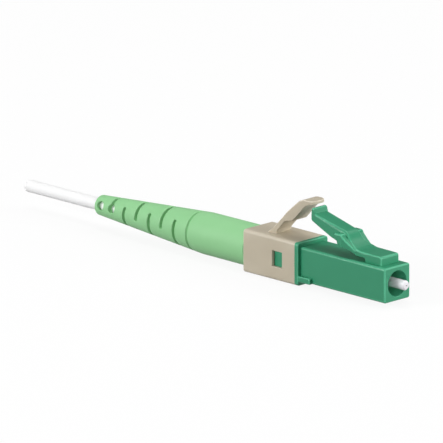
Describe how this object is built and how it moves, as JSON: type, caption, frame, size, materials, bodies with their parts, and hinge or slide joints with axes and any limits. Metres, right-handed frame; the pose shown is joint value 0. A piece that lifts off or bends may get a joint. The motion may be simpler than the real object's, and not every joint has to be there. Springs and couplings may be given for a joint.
{
  "type": "lc fibre connector",
  "caption": "Small square fibre optic plug with a sprung angled ferrule, a latch arm under an anti-snag trigger, and a tapered slotted boot on a short cable stub.",
  "frame": {"origin": "centre of the plug's nose face, on the ferrule's axis", "axes": "+X out of the nose along the ferrule, +Z towards the latch"},
  "size_m": [0.0669, 0.0054, 0.0109],
  "materials": {
    "green_plastic": "satin",
    "beige_plastic": "satin",
    "ceramic": "polished",
    "fibre_glass": "polished",
    "holder_metal": "turned",
    "tube_plastic": "smooth",
    "spring_steel": "drawn",
    "backbone_metal": "nickel plated",
    "sleeve_metal": "nickel plated",
    "boot_rubber": "matt",
    "white_jacket": "satin",
    "yarn": "fibrous",
    "buffer_plastic": "smooth"
  },
  "bodies": {
    "body": {"front_housing": "green_plastic", "trigger_collar": "beige_plastic", "backbone": "backbone_metal", "crimp_sleeve": "sleeve_metal", "boot": "boot_rubber", "cable_jacket": "white_jacket", "aramid_yarn": "yarn", "fibre_buffer": "buffer_plastic", "spring": "spring_steel"},
    "latch": {"latch_arm": "green_plastic"},
    "trigger": {"trigger_lever": "beige_plastic"},
    "ferrule_assembly": {"ferrule": "ceramic", "optical_fibre": "fibre_glass", "ferrule_flange": "holder_metal", "guide_tube": "tube_plastic"}
  },
  "joints": [
    {"name": "trigger_press", "type": "hinge", "parent": "body", "child": "trigger", "pos_m": [-0.01988, 0, 0.0036], "axis": [0, 1, 0], "range_deg": [0, 15], "stiffness_Nm_per_rad": 0.003},
    {"name": "latch_press", "type": "hinge", "parent": "body", "child": "latch", "pos_m": [-0.0041, 0, 0.00305], "axis": [0, -1, 0], "range_deg": [0, 11.2], "stiffness_Nm_per_rad": 0.009},
    {"name": "ferrule_float", "type": "slide", "parent": "body", "child": "ferrule_assembly", "axis": [-1, 0, 0], "range_m": [0, 0.001], "stiffness_N_per_m": 1200, "springref_m": -0.004, "deforming": ["spring", "fibre_buffer"]}
  ],
  "couplings": [
    {"joint": "latch_press", "follows": "trigger_press", "ratio": 0.74}
  ]
}
